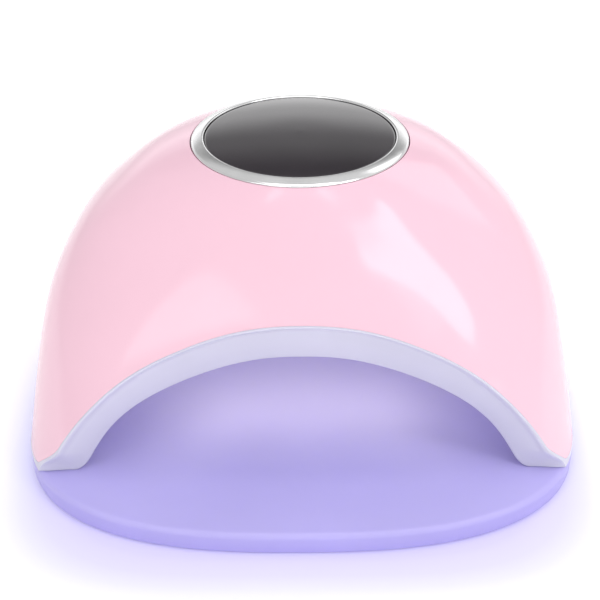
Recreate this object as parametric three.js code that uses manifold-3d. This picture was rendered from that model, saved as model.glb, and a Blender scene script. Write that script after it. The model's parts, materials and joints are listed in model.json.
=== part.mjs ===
// UV LED nail curing lamp: a hood on a removable base tray. Millimetres, +Z up, the hand opening faces -Y,
// origin on the table under the middle of the base.
import * as THREE from "three";
import { mergeVertices } from "three/addons/utils/BufferGeometryUtils.js";
import Module from "manifold-3d";

const wasm = await Module();
wasm.setup();
const V = (x, y, z) => new THREE.Vector3(x, y, z);

// ---- driving dimensions ----
const HALF_WIDTH = 110; // half the overall width
const HALF_DEPTH = 100; // half the overall depth
const WIDEST_Y = -28; // the outline is widest here, forward of the middle
const PLAN_EXP = 2.6; // squareness of the base outline, easing to a circle at the display
const TRAY_BOTTOM = 0.6; // the tray stands on its rubber feet
const TRAY_TOP = 9.0;
const HOOD_BOTTOM = 9.3; // the hood's rim rests on the tray
const RIM_LEDGE = 9.8; // top of the rim's outer edge, under the coloured shell
const RIM_FLOOR = 11.5; // top of the rim's floor, which reaches in to the liner
const RIM_TOP = 13.3; // top of the rim inside the shell's wall
const SHELL_BOTTOM = 10.1;
const SHELL_CORNER = 0.048; // roundness of the shell's front lower corners, as a share of the height
const SHELL_WALL = 2.4;
const DISPLAY_Y = 20; // centre of the round display
const DISPLAY_R = 43.85; // where the dome meets the chrome ring
const DISPLAY_Z = 110.16;
const DISPLAY_TILT = 0.016; // radians the display leans back, about its front edge
const HOLE_R = 44.0; // the shell's hole for the ring
const LINER_TOP = 51; // height of the hand space above the rim
const LED_HOLE_R = 3.7;
// profile of the dome from the rim to the ring: share of height, half width, how far the front has come back
const LEVEL = [0, 0.08, 0.2, 0.35, 0.5, 0.65, 0.78, 0.88, 0.95, 1];
const DOME_A = [110, 108.9, 107.28, 104.79, 101.05, 93.5, 82.9, 70.6, 58.2, DISPLAY_R];
const DOME_F = [0, 0.063, 0.154, 0.273, 0.404, 0.552, 0.707, 0.839, 0.93, 1];

// ---- small numeric helpers ----
function spline(xs, ys) {
  // natural cubic spline
  const n = xs.length, m = new Array(n).fill(0), l = new Array(n).fill(1), u = new Array(n).fill(0), z = new Array(n).fill(0);
  for (let i = 1; i < n - 1; i++) {
    const a = (3 / (xs[i + 1] - xs[i])) * (ys[i + 1] - ys[i]) - (3 / (xs[i] - xs[i - 1])) * (ys[i] - ys[i - 1]);
    l[i] = 2 * (xs[i + 1] - xs[i - 1]) - (xs[i] - xs[i - 1]) * u[i - 1];
    u[i] = (xs[i + 1] - xs[i]) / l[i];
    z[i] = (a - (xs[i] - xs[i - 1]) * z[i - 1]) / l[i];
  }
  for (let j = n - 2; j >= 0; j--) m[j] = z[j] - u[j] * m[j + 1];
  return (x) => {
    let j = 0;
    while (j < n - 2 && x > xs[j + 1]) j++;
    const h = xs[j + 1] - xs[j], d = x - xs[j];
    const b = (ys[j + 1] - ys[j]) / h - (h * (m[j + 1] + 2 * m[j])) / 3;
    return ys[j] + b * d + m[j] * d * d + ((m[j + 1] - m[j]) / (3 * h)) * d * d * d;
  };
}
const spow = (v, e) => Math.sign(v) * Math.pow(Math.abs(v), e);
const clamp = (v, a, b) => Math.min(b, Math.max(a, v));
const smooth = (a, b, x) => { const t = clamp((x - a) / (b - a), 0, 1); return t * t * (3 - 2 * t); };
const smax = (a, b, k) => (a + b + Math.sqrt((a - b) * (a - b) + k * k)) / 2;

// ---- the dome ----
const profA = spline(LEVEL, DOME_A), profF = spline(LEVEL, DOME_F);
function dome(th, s) {
  const A = profA(s), n = PLAN_EXP + (2 - PLAN_EXP) * clamp(s, 0, 1);
  const yF = -HALF_DEPTH + profF(s) * (DISPLAY_Y - DISPLAY_R + HALF_DEPTH);
  const yW = WIDEST_Y + (DISPLAY_Y - WIDEST_Y) * s;
  const yB = HALF_DEPTH + (DISPLAY_Y + DISPLAY_R - HALF_DEPTH) * (1 - (A - DISPLAY_R) / (HALF_WIDTH - DISPLAY_R));
  const c = Math.cos(th), q = Math.sin(th);
  const y = yW + (q < 0 ? yW - yF : yB - yW) * spow(q, 2 / n);
  return V(A * spow(c, 2 / n), y, TRAY_TOP + (DISPLAY_Z - TRAY_TOP) * s - Math.pow(clamp(s, 0, 1.1), 4) * drop(y));
}
function drop(y) { return DISPLAY_TILT * (y - DISPLAY_Y + DISPLAY_R); }
function domeNormal(th, s) {
  const e = 2e-3;
  const du = dome(th + e, s).sub(dome(th - e, s)), dv = dome(th, s + e).sub(dome(th, s - e));
  return du.cross(dv).normalize();
}
const domeIn = (th, s, d) => dome(th, s).addScaledVector(domeNormal(th, s), -d);
const levelOf = (z) => (z - TRAY_TOP) / (DISPLAY_Z - TRAY_TOP);

// the plane, nearly upright, on which the shell is cut away for the hand opening; it eases back at the feet
const archPlane = (z) => -68.9 + 0.152 * (z - TRAY_TOP) + 4.3 * (1 - smooth(9, 22, z)) - 0.95 * smooth(9, 45, z) * (1 - smooth(62, 78, z));
function crossing(th, back) {
  // level where the dome at this angle passes through the opening plane, negative where it never does
  const g = (s) => { const p = dome(th, s); return p.y - archPlane(p.z) - back; };
  if (g(0) >= 0) return -g(0) / Math.max((g(0.02) - g(0)) / 0.02, 12);
  let a = 0, b = 1;
  for (let i = 0; i < 50; i++) { const m = (a + b) / 2; if (g(m) < 0) a = m; else b = m; }
  return (a + b) / 2;
}

// level of the shell's lower edge: level along the sides, rounding up into the opening plane
const shellEdge = (th, back) => smax(crossing(th, back), levelOf(SHELL_BOTTOM), SHELL_CORNER);

// angles round the base outline by arc length, closer together at the opening's lower corners
function outlineAngles(coarse, fine) {
  const N = 4000, th = [], arc = [0];
  for (let i = 0; i <= N; i++) th.push(-Math.PI / 2 + (Math.PI * i) / N);
  for (let i = 1; i <= N; i++) arc.push(arc[i - 1] + dome(th[i], 0).distanceTo(dome(th[i - 1], 0)));
  let corner = 0;
  for (let i = 0; i <= N; i++) if (crossing(th[i], 0) < levelOf(SHELL_BOTTOM)) { corner = arc[i]; break; }
  const at = [0];
  while (at[at.length - 1] < arc[N]) {
    const p = at[at.length - 1], near = Math.abs(p + 2 - corner) < 12;
    at.push(p + (near ? fine : coarse));
  }
  const k = arc[N] / at[at.length - 1], half = [];
  for (const p of at) {
    const t = Math.min(p * k, arc[N]);
    let i = 0;
    while (i < N - 1 && arc[i + 1] < t) i++;
    half.push(th[i] + ((th[i + 1] - th[i]) * (t - arc[i])) / (arc[i + 1] - arc[i]));
  }
  const all = half.slice();
  for (let i = half.length - 2; i > 0; i--) all.push(Math.PI - half[i]);
  return all;
}

// ---- solids ----
// rings of equal point count, joined in turn; closed = the last joins the first, else each end is capped
function rings(list, closed = false) {
  const n = list[0].length, pos = [], idx = [];
  for (const r of list) for (const p of r) pos.push(p.x, p.y, p.z);
  const R = list.length;
  for (let i = 0; i < (closed ? R : R - 1); i++)
    for (let j = 0; j < n; j++) {
      const a = i * n + j, b = i * n + ((j + 1) % n), c = ((i + 1) % R) * n + j, d = ((i + 1) % R) * n + ((j + 1) % n);
      idx.push(a, b, d, a, d, c);
    }
  if (!closed)
    for (const [k, flip] of [[0, true], [R - 1, false]]) {
      const m = V(0, 0, 0);
      for (const p of list[k]) m.addScaledVector(p, 1 / n);
      const v = pos.length / 3;
      pos.push(m.x, m.y, m.z);
      for (let j = 0; j < n; j++) {
        const a = k * n + j, b = k * n + ((j + 1) % n);
        flip ? idx.push(a, v, b) : idx.push(a, b, v);
      }
    }
  const g = new THREE.BufferGeometry();
  g.setAttribute("position", new THREE.Float32BufferAttribute(pos, 3));
  g.setIndex(idx);
  return g;
}
function solid(geometry, matrix) {
  const g = geometry.clone();
  for (const a of Object.keys(g.attributes)) if (a !== "position") g.deleteAttribute(a);
  if (matrix) g.applyMatrix4(matrix);
  const m = mergeVertices(g, 1e-4);
  const tri = new Uint32Array(m.index.array), keep = [];
  for (let i = 0; i < tri.length; i += 3)
    if (tri[i] !== tri[i + 1] && tri[i + 1] !== tri[i + 2] && tri[i] !== tri[i + 2]) keep.push(tri[i], tri[i + 1], tri[i + 2]);
  const make = (t) => new wasm.Manifold(new wasm.Mesh({ numProp: 3, vertProperties: new Float32Array(m.attributes.position.array), triVerts: new Uint32Array(t) }));
  let s = make(keep);
  if (s.volume() < 0) {
    for (let i = 0; i < keep.length; i += 3) [keep[i + 1], keep[i + 2]] = [keep[i + 2], keep[i + 1]];
    s = make(keep);
  }
  return s;
}
function geometryOf(shape) {
  const s = shape.simplify(0.012);
  const m = s.getMesh(), n = m.numProp, v = new Float32Array(m.numVert * 3);
  for (let i = 0; i < m.numVert; i++) v.set(m.vertProperties.subarray(i * n, i * n + 3), i * 3);
  const g = new THREE.BufferGeometry();
  g.setAttribute("position", new THREE.BufferAttribute(v, 3));
  g.setIndex(new THREE.BufferAttribute(new Uint32Array(m.triVerts), 1));
  g.computeVertexNormals();
  return g;
}
const at = (x, y, z) => new THREE.Matrix4().makeTranslation(x, y, z);
// a cylinder from point a to point b
function rod(a, b, r, sides = 12, r2 = r) {
  const d = b.clone().sub(a), g = new THREE.CylinderGeometry(r2, r, d.length(), sides);
  const q = new THREE.Quaternion().setFromUnitVectors(V(0, 1, 0), d.clone().normalize());
  return solid(g, new THREE.Matrix4().compose(a.clone().add(b).multiplyScalar(0.5), q, V(1, 1, 1)));
}
const lean = at(0, DISPLAY_Y - DISPLAY_R, DISPLAY_Z).multiply(new THREE.Matrix4().makeRotationX(-DISPLAY_TILT)).multiply(at(0, DISPLAY_R - DISPLAY_Y, -DISPLAY_Z));
const leaned = (s) => s.transform([...lean.elements]);
const block = (x, y, z, cx, cy, cz) => solid(new THREE.BoxGeometry(x, y, z), at(cx, cy, cz));
// a lathe about the vertical through (cx, cy); points are [radius, z] round a closed profile
function lathe(points, cx, cy, sides) {
  const pts = points.map(([r, z]) => new THREE.Vector2(r, z));
  const g = new THREE.LatheGeometry(pts, sides);
  return solid(g, at(cx, cy, 0).multiply(new THREE.Matrix4().makeRotationX(Math.PI / 2)));
}
function tube(points, r, steps, sides = 6) {
  const curve = new THREE.CatmullRomCurve3(points);
  const ring = [];
  for (let i = 0; i < sides; i++) ring.push(new THREE.Vector2(r * Math.cos((2 * Math.PI * i) / sides), r * Math.sin((2 * Math.PI * i) / sides)));
  return solid(new THREE.ExtrudeGeometry(new THREE.Shape(ring), { steps, extrudePath: curve, bevelEnabled: false }));
}

const group = new THREE.Group();
const look = {
  pink: [0xf6c9dc, 0.12, 0], white: [0xf1f0f4, 0.35, 0], liner: [0xf4f4f8, 0.3, 0], chrome: [0xd9d9dc, 0.08, 1],
  lens: [0x2a272b, 0.05, 0], black: [0x1b1b1d, 0.5, 0], pcb: [0x1f6b3a, 0.5, 0], board: [0xf2f2f0, 0.4, 0],
  rubber: [0x3a3a3d, 0.8, 0], steel: [0xb8b9bc, 0.3, 1], nickel: [0xc9c9cc, 0.2, 1], chip: [0x202022, 0.6, 0],
  cable: [0xe7e7e9, 0.5, 0], ir: [0x2a1f33, 0.1, 0], can: [0x2d3550, 0.4, 0],
};
function add(name, s, kind) {
  const [color, roughness, metalness] = look[kind];
  const mesh = new THREE.Mesh(geometryOf(s), new THREE.MeshStandardMaterial({ color, roughness, metalness }));
  mesh.name = name;
  group.add(mesh);
}

const ANGLES = outlineAngles(14.5, 4);
const outline = (z, inset, list = ANGLES) => list.map((th) => {
  const p = dome(th, 0), e = 1e-3, t = dome(th + e, 0).sub(dome(th - e, 0)).normalize();
  return V(p.x - t.y * inset, p.y + t.x * inset, z);
});

// ==== base tray (stands on the table) ====
{
  const list = ANGLES;
  let tray = solid(rings([outline(TRAY_BOTTOM, 0.8), outline(1.0, 0.25), outline(1.7, 0), outline(6.9, 0), outline(8.1, 0.5), outline(8.8, 1.4), outline(TRAY_TOP, 2.6)]));
  tray = tray.subtract(solid(rings([outline(TRAY_BOTTOM - 1, 4), outline(6.6, 4)])));
  for (const [x, y] of [[-80, -55], [80, -55], [-72, 66], [72, 66]])
    tray = tray.add(rod(V(x, y, 3.7), V(x, y, 7.2), 3.6, 12)).subtract(rod(V(x, y, 2), V(x, y, 6.4), 1.35, 8));
  // pockets under the skin for the four magnets
  for (const [x, y] of MAGNETS()) {
    tray = tray.add(rod(V(x, y, 4.2), V(x, y, 7.2), 4.6, 12)).subtract(rod(V(x, y, 3), V(x, y, 7.7), 3.3, 12));
  }
  // two locating pegs that enter the hood's rim
  for (const x of [-1, 1]) tray = tray.add(rod(V(x * 40, 91, 8), V(x * 40, 91, 11.4), 1.9, 10));
  add("base_tray", tray, "white");
  let cover = solid(rings([outline(1.5, 4.4), outline(3.4, 4.4)]));
  for (const [x, y] of FEET()) cover = cover.subtract(rod(V(x, y, 1), V(x, y, 2.4), 8.4, 16));
  for (const [x, y] of [[-80, -55], [80, -55], [-72, 66], [72, 66]])
    cover = cover.subtract(rod(V(x, y, 1), V(x, y, 4), 1.8, 10)).subtract(rod(V(x, y, 1), V(x, y, 2.5), 3.1, 10));
  add("base_cover", cover, "white");
}
function FEET() { return [[-84, -38], [84, -38], [-60, 74], [60, 74]]; }
// points on the rim, a given way in from the base outline, mirrored left and right
function onRim(degrees, inset) {
  const th = (degrees * Math.PI) / 180, [p] = outline(0, inset, [th]);
  return [[-p.x, p.y], [p.x, p.y]];
}
function MAGNETS() { return [...onRim(0, 6.8), ...onRim(55, 6.8)]; }
FEET().forEach(([x, y], i) => add("rubber_foot_" + (i + 1), lathe([[0, 0], [7.2, 0], [8.0, 0.8], [8.0, 2.2], [0, 2.2]], x, y, 18), "rubber"));
MAGNETS().forEach(([x, y], i) => add("tray_magnet_" + (i + 1), rod(V(x, y, 4.6), V(x, y, 7.4), 3.0, 12), "nickel"));
[[-80, -55], [80, -55], [-72, 66], [72, 66]].forEach(([x, y], i) =>
  add("cover_screw_" + (i + 1), lathe([[0, 1.7], [2.7, 1.7], [2.7, 2.3], [1.1, 2.4], [1.1, 6.1], [0, 6.1]], x, y, 10), "steel"));

// ==== coloured outer shell ====
function shellColumns(list, back, rows, wall) {
  // arc length of the side profile, to spread the rows
  const N = 400, arc = [0];
  for (let i = 1; i <= N; i++) arc.push(arc[i - 1] + Math.hypot(profA(i / N) - profA((i - 1) / N), (DISPLAY_Z - TRAY_TOP) / N));
  const arcAt = (s) => { const t = clamp(s, 0, 1) * N, i = Math.min(N - 1, Math.floor(t)); return arc[i] + (arc[i + 1] - arc[i]) * (t - i); };
  const levelAt = (a) => { let i = 0; while (i < N - 1 && arc[i + 1] < a) i++; return (i + (a - arc[i]) / (arc[i + 1] - arc[i])) / N; };
  const top = 0.994;
  return list.map((th) => {
    const lo = shellEdge(th, back), a0 = arcAt(lo), a1 = arcAt(top), out = [];
    for (let i = 0; i <= rows; i++) out.push(levelAt(a0 + ((a1 - a0) * i) / rows));
    out[0] = lo;
    return out;
  });
}
{
  const rows = 10, cols = shellColumns(ANGLES, 0.5, rows, SHELL_WALL), list = [];
  const edge = (th, dz) => { const y = DISPLAY_Y + HOLE_R * Math.sin(th); return V(HOLE_R * Math.cos(th), y, DISPLAY_Z - 0.05 + dz - drop(y)); };
  for (let i = 0; i <= rows; i++) list.push(ANGLES.map((th, j) => dome(th, cols[j][i])));
  list.push(ANGLES.map((th) => edge(th, 0)));
  list.push(ANGLES.map((th) => edge(th, -2.7)));
  for (let i = rows - 1; i >= 0; i--) list.push(ANGLES.map((th, j) => domeIn(th, cols[j][i], SHELL_WALL)));
  let shell = solid(rings(list, true));
  // bosses for the rim screws, grown out of the wall
  for (const [x, y] of BOSSES())
    shell = shell.add(rod(V(x, y, RIM_TOP + 0.35), V(x, y, 23.5), 2.9, 10)).subtract(rod(V(x, y, 10), V(x, y, 21.6), 1.25, 8));
  // three bosses round the display for the carrier's screws
  for (const a of [30, 150, 270]) {
    const x = 46.2 * Math.cos((a * Math.PI) / 180), y = DISPLAY_Y + 46.2 * Math.sin((a * Math.PI) / 180);
    shell = shell.add(leaned(rod(V(x, y, 102.5), V(x, y, 106.6), 2.0, 8))).subtract(leaned(rod(V(x, y, 102), V(x, y, 105.2), 1.1, 6)));
  }
  shell = shell.subtract(block(300, 300, 10, 0, 0, SHELL_BOTTOM - 0.05 - 5));
  // socket hole in a shallow recess, and cooling slots, at the back
  shell = shell.subtract(rod(V(0, 98.6, 24), V(0, 104, 24), 6.1, 16));
  shell = shell.subtract(rod(V(0, 90, 24), V(0, 104, 24), 4.3, 16));
  for (let i = -4; i <= 4; i++) shell = shell.subtract(block(2.2, 16, 13, i * 6, 92, 50));
  add("outer_shell", shell, "pink");
}
function BOSSES() { return [...onRim(-9, 6.2), ...onRim(36, 6.2)]; }

// ==== reflector liner: the hand space ====
const LIN = { a: 95.2, yc: -8, f: 108, b: 84, nx: 1.75, ny: 2.6, h: LINER_TOP, k: 1.85, z: HOOD_BOTTOM + 0.2 };
const linerValue = (p) => Math.pow(Math.abs(p.x) / LIN.a, LIN.nx) + Math.pow(Math.abs(p.y - LIN.yc) / (p.y < LIN.yc ? LIN.f : LIN.b), LIN.ny) + Math.pow(Math.max(0, p.z - LIN.z) / LIN.h, LIN.k);
function linerNormal(p) {
  const e = 0.02, f = (x, y, z) => linerValue(V(p.x + x, p.y + y, p.z + z));
  return V(f(e, 0, 0) - f(-e, 0, 0), f(0, e, 0) - f(0, -e, 0), f(0, 0, e) - f(0, 0, -e)).normalize();
}
function linerHit(dir, from = V(0, LIN.yc, LIN.z)) {
  let a = 0, b = 200;
  for (let i = 0; i < 60; i++) { const m = (a + b) / 2; if (linerValue(from.clone().addScaledVector(dir, m)) < 1) a = m; else b = m; }
  return from.clone().addScaledVector(dir, (a + b) / 2);
}
const linerAt = (x, y) => linerHit(V(0, 0, 1), V(x, y, LIN.z));
const off = (p, d) => p.clone().addScaledVector(linerNormal(p), d);
const toward = (az, el) => V(Math.cos(el) * Math.cos(az), Math.cos(el) * Math.sin(az), Math.sin(el));
const rad = (d) => (d * Math.PI) / 180;
// the liner's surface, or one a given way outside it; every one has the same layout of facets, so they nest
function linerSolid(d, skirt = 0) {
  const cols = 36, rowsN = 7, list = [];
  for (let i = 0; i <= rowsN; i++) {
    const el = Math.pow(i / rowsN, 1.1) * (Math.PI / 2 - 0.05);
    list.push(Array.from({ length: cols }, (_, j) => {
      const az = ((j + 0.5) / cols) * 2 * Math.PI;
      // an oval spread of directions keeps the columns even on the wide, low dome
      const p = linerHit(V(Math.cos(az) * 97 * Math.cos(el), Math.sin(az) * (Math.sin(az) < 0 ? 108 : 84) * Math.cos(el), 51 * Math.sin(el)).normalize());
      const q = off(p, d);
      if (i === 0) q.z = LIN.z;
      return q;
    }));
  }
  if (skirt) list.unshift(list[0].map((p) => p.clone().setZ(LIN.z - skirt)));
  return solid(rings(list));
}

// ==== white frame: arch round the opening, and the rim under the shell ====
const innerArch = (() => {
  const pts = [[0, 56.5], [17.4, 55.3], [35.6, 50.3], [50.2, 43.9], [64.5, 34.9], [73.6, 25.8], [79.6, 16.9], [83.4, 11.6], [85.0, 10.2], [86.6, 9.45], [88.2, HOOD_BOTTOM]];
  const d = [0];
  for (let i = 1; i < pts.length; i++) d.push(d[i - 1] + Math.hypot(pts[i][0] - pts[i - 1][0], pts[i][1] - pts[i - 1][1]));
  const fx = spline([-d[1], ...d], [-17.4, ...pts.map((p) => p[0])]), fz = spline([-d[1], ...d], [55.3, ...pts.map((p) => p[1])]);
  const L = d[d.length - 1];
  return (t) => [fx(t * L), fz(t * L)];
})();
const innerPlane = (z) => -63.4 + 0.15 * (z - TRAY_TOP) - 0.9 * (1 - smooth(9, 20, z));
function archStations(n) {
  // points of the dome in the opening plane from the top (0) to the foot (1), spread by arc length
  const pts = [], N = 900;
  let end = 0;
  for (let i = 0; i <= N; i++) { const th = -Math.PI / 2 + (i / N) * (Math.PI / 2); if (crossing(th, 0) <= levelOf(HOOD_BOTTOM)) { end = th; break; } }
  for (let i = 0; i <= N; i++) {
    const u = 1 - Math.pow(1 - i / N, 2), th = -Math.PI / 2 + u * (end + Math.PI / 2), s = Math.max(crossing(th, 0), levelOf(HOOD_BOTTOM));
    pts.push([th, s]);
  }
  const d = [0];
  for (let i = 1; i <= N; i++) d.push(d[i - 1] + dome(...pts[i]).distanceTo(dome(...pts[i - 1])));
  const L = d[N], out = [];
  for (let k = 0; k <= n; k++) {
    const t = L * (k / n);
    let i = 0;
    while (i < N - 1 && d[i + 1] < t) i++;
    const f = clamp((t - d[i]) / (d[i + 1] - d[i] || 1), 0, 1);
    out.push([pts[i][0] + (pts[i + 1][0] - pts[i][0]) * f, pts[i][1] + (pts[i + 1][1] - pts[i][1]) * f]);
  }
  return out;
}
function frameSection(th, s, t) {
  const O = dome(th, s), n = domeNormal(th, s), foot = 1 - smooth(HOOD_BOTTOM, 22, O.z);
  O.y = archPlane(O.z);
  const [ix, iz] = innerArch(t), I = V(ix, innerPlane(iz), iz);
  // the band runs back to just short of the shell's edge, which curves away from it at the foot
  const edge = Math.max(shellEdge(th, 0.5) - (0.45 + 0.9 * smooth(16, 26, O.z)) / (DISPLAY_Z - TRAY_TOP), s + 0.001);
  const lip = 1.9 * (1 - 0.88 * foot), P = (a, b) => O.clone().addScaledVector(n, -b).add(V(0, a, 0));
  const pts = [
    P(0, 0), P(-0.62 * lip, 0.12), P(-0.95 * lip, 1.0), P(-lip, 2.4),
    I, I.clone().add(V(0, 2.4, 0)),
    P(3.6, 6.4), P(9, 5.7), P(9, 4.3), P(0.6, 4.25), domeIn(th, edge, SHELL_WALL + 0.3), dome(th, edge),
  ];
  return pts;
}
{
  const n = 20, st = archStations(n), right = st.map(([th, s], k) => frameSection(th, s, k / n));
  right.push(right[n].map((p) => p.clone().add(V(0, 0, -8))));
  const left = right.slice(1).reverse().map((sec) => sec.map((p) => V(-p.x, p.y, p.z)));
  let frame = solid(rings([...left, ...right])).subtract(block(300, 300, 20, 0, 0, HOOD_BOTTOM - 10));
  // the rim that carries the shell, with a floor that reaches in to the liner
  const low = levelOf(HOOD_BOTTOM), high = levelOf(RIM_TOP);
  const under = (th) => Math.min(shellEdge(th, 0.5) - (SHELL_BOTTOM - RIM_LEDGE) / (DISPLAY_Z - TRAY_TOP), levelOf(16));
  let rim = solid(rings([ANGLES.map((th) => dome(th, low)), ANGLES.map((th) => dome(th, under(th))), ANGLES.map((th) => domeIn(th, under(th), SHELL_WALL + 0.5))]));
  rim = rim.add(solid(rings([HOOD_BOTTOM, RIM_TOP].map((z) => ANGLES.map((th) => domeIn(th, high, SHELL_WALL + 1).setZ(z))))));
  rim = rim.subtract(linerSolid(2.5, 4)).subtract(solid(rings([RIM_FLOOR, 30].map((z) => ANGLES.map((th) => domeIn(th, high, 11.5).setZ(z))))));
  // cut off in front along the face of the arch's feet
  const plan = [[-150, -150], [150, -150], [150, -64.75], [98, -64.75], [88, -63.9], [-88, -63.9], [-98, -64.75], [-150, -64.75]];
  rim = rim.subtract(solid(rings([5, 18].map((z) => plan.map(([x, y]) => V(x, y, z))))));
  frame = frame.add(rim);
  for (const [x, y] of BOSSES()) frame = frame.subtract(rod(V(x, y, 8), V(x, y, 15), 1.6, 8)).subtract(rod(V(x, y, 8), V(x, y, 11), 2.9, 10));
  for (const [x, y] of MAGNETS()) frame = frame.subtract(rod(V(x, y, 8), V(x, y, 12.4), 3.3, 12));
  for (const x of [-1, 1]) frame = frame.subtract(rod(V(x * 40, 91, 8), V(x * 40, 91, 12), 2.3, 10));
  add("arch_frame", frame, "white");
}
MAGNETS().forEach(([x, y], i) => add("hood_magnet_" + (i + 1), rod(V(x, y, 9.5), V(x, y, 12.1), 3.0, 12), "nickel"));
BOSSES().forEach(([x, y], i) => add("rim_screw_" + (i + 1), lathe([[0, 9.5], [2.5, 9.5], [2.5, 10.6], [1.0, 10.7], [1.0, 21], [0, 21]], x, y, 10), "steel"));

// ==== lamps and liner ====
// 36 lamps: eight on each side, eight behind, twelve in the roof
const LEDS = { right: [], left: [], rear: [], top: [] };
for (const el of [8, 18]) for (const az of [-20, -7, 6, 19]) LEDS.right.push(toward(rad(az), rad(el)));
for (const d of LEDS.right) LEDS.left.push(V(-d.x, d.y, d.z));
for (const el of [10, 23]) for (const az of [68, 83, 97, 112]) LEDS.rear.push(toward(rad(az), rad(el)));
const LED_POS = {};
for (const k of ["right", "left", "rear"]) LED_POS[k] = LEDS[k].map((d) => linerHit(d));
LED_POS.top = [];
for (const y of [-24, 4, 32]) for (const x of [-36, -12, 12, 36]) LED_POS.top.push(linerAt(x, y));
const IR = [[-7, -43], [7, -43]];
const openFront = (behind) => {
  const m = new THREE.Matrix4().makeTranslation(0, innerPlane(30) + behind, 30).multiply(new THREE.Matrix4().makeRotationX(-Math.atan(0.15))).multiply(at(0, -60, 0));
  return solid(new THREE.BoxGeometry(320, 120, 200), m);
};
{
  let liner = linerSolid(2).subtract(linerSolid(0, 4)).subtract(openFront(3.8));
  for (const k of Object.keys(LED_POS)) for (const p of LED_POS[k]) liner = liner.subtract(rod(off(p, -3), off(p, 5), LED_HOLE_R, 6));
  for (const [x, y] of IR) { const p = linerAt(x, y); liner = liner.subtract(rod(V(x, y, p.z - 5), V(x, y, p.z + 6), 2.9, 8)); }
  add("reflector_liner", liner, "liner");
}
// circuit boards bent over the back of the liner, each with its lamps looking in through the holes
const boardSkin = linerSolid(3.8).subtract(linerSolid(2.4, 4));
function board(name, region, leds) {
  let s = boardSkin.intersect(region);
  for (const p of leds) s = s.add(rod(off(p, 3.2), off(p, -0.8), 2.9, 6, 2.1));
  add(name, s, "board");
}
board("led_board_right", block(70, 84, 26, 95, -6, 29), LED_POS.right);
board("led_board_left", block(70, 84, 26, -95, -6, 29), LED_POS.left);
board("led_board_rear", block(78, 60, 34, 0, 84, 33), LED_POS.rear);
board("led_board_top", block(94, 82, 30, 0, 4, 65), LED_POS.top);
// hand sensor: two domed parts on a small board over the front of the roof
{
  const z = linerAt(0, -43).z;
  IR.forEach(([x, y], i) => add(i ? "ir_receiver" : "ir_emitter", lathe([[0, z - 2.2], [1.5, z - 1.7], [2.4, z - 0.4], [2.5, z + 5.6], [0, z + 5.6]], x, y, 10), "ir"));
  let b = block(28, 11, 1.4, 0, -43, z + 6.6);
  b = b.add(block(6, 4, 3.2, 0, -40.5, z + 8.6));
  add("sensor_board", b, "pcb");
}

// ==== display and controls ====
const D = [0, DISPLAY_Y];
add("display_lens", leaned(lathe([[0, 109.2], [38.2, 109.2], [38.2, 111.3], [34, 111.7], [26, 112.2], [14, 112.65], [0, 112.8]], ...D, 48)), "lens");
add("chrome_ring", leaned(lathe([[38.5, 109.2], [42.4, 109.2], [42.4, 105], [43.6, 105], [43.6, 110.2], [43.1, 110.7], [39.7, 111.8], [38.9, 111.85], [38.5, 111.5], [38.5, 109.2]], ...D, 48)), "chrome");
add("lens_gasket", leaned(lathe([[36.2, 108.55], [38.0, 108.55], [38.0, 109.1], [36.2, 109.1], [36.2, 108.55]], ...D, 36)), "black");
{
  let carrier = lathe([[36, 107], [39.8, 107], [39.8, 98], [41.9, 98], [41.9, 100.6], [48.1, 100.6], [48.1, 102.2], [41.9, 102.2], [41.9, 108.45], [36, 108.45], [36, 107]], ...D, 36);
  for (const a of [90, 210, 330]) {
    const x = 37 * Math.cos(rad(a)), y = DISPLAY_Y + 37 * Math.sin(rad(a));
    carrier = carrier.add(rod(V(x, y, 101.9), V(x, y, 107.4), 2.3, 8)).subtract(rod(V(x, y, 101), V(x, y, 106), 0.95, 6));
  }
  for (const a of [30, 150, 270]) {
    const x = 46.2 * Math.cos(rad(a)), y = DISPLAY_Y + 46.2 * Math.sin(rad(a));
    carrier = carrier.subtract(rod(V(x, y, 99), V(x, y, 104), 1.3, 6));
  }
  add("display_carrier", leaned(carrier), "black");
  let pcb = lathe([[0, 99.9], [39.2, 99.9], [39.2, 101.5], [0, 101.5]], ...D, 36);
  for (const a of [90, 210, 330]) pcb = pcb.subtract(rod(V(37 * Math.cos(rad(a)), DISPLAY_Y + 37 * Math.sin(rad(a)), 99), V(37 * Math.cos(rad(a)), DISPLAY_Y + 37 * Math.sin(rad(a)), 103), 1.3, 6));
  for (const [x, y] of [[-24, 12], [0, -4], [24, 12], [0, 50]]) pcb = pcb.add(block(9, 5, 5.4, x, y, 97.3));
  add("control_pcb", leaned(pcb), "pcb");
}
[90, 210, 330].forEach((a, i) => add("pcb_screw_" + (i + 1), leaned(lathe([[0, 98.3], [1.9, 98.3], [1.9, 99.6], [0.8, 99.6], [0.8, 105.6], [0, 105.6]], 37 * Math.cos(rad(a)), DISPLAY_Y + 37 * Math.sin(rad(a)), 8)), "steel"));
[30, 150, 270].forEach((a, i) => add("carrier_screw_" + (i + 1), leaned(lathe([[0, 99.0], [1.9, 99.0], [1.9, 100.3], [0.8, 100.3], [0.8, 104.8], [0, 104.8]], 46.2 * Math.cos(rad(a)), DISPLAY_Y + 46.2 * Math.sin(rad(a)), 8)), "steel"));
add("digit_display", leaned(block(44, 22, 6.6, 0, 28, 105.1)), "chip");
[[-24, 6], [-8.5, 0], [8.5, 0], [24, 6]].forEach(([x, y], i) => {
  const pts = [];
  for (let k = 0; k <= 24; k++) { const a = (k / 24) * 2 * Math.PI * 2.5, r = 3.6 - 1.2 * (k / 24); pts.push(V(x + r * Math.cos(a), y + r * Math.sin(a), 102.25 + (6.2 * k) / 24)); }
  add("touch_spring_" + (i + 1), leaned(tube(pts, 0.36, 24, 4)), "steel");
});
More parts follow.
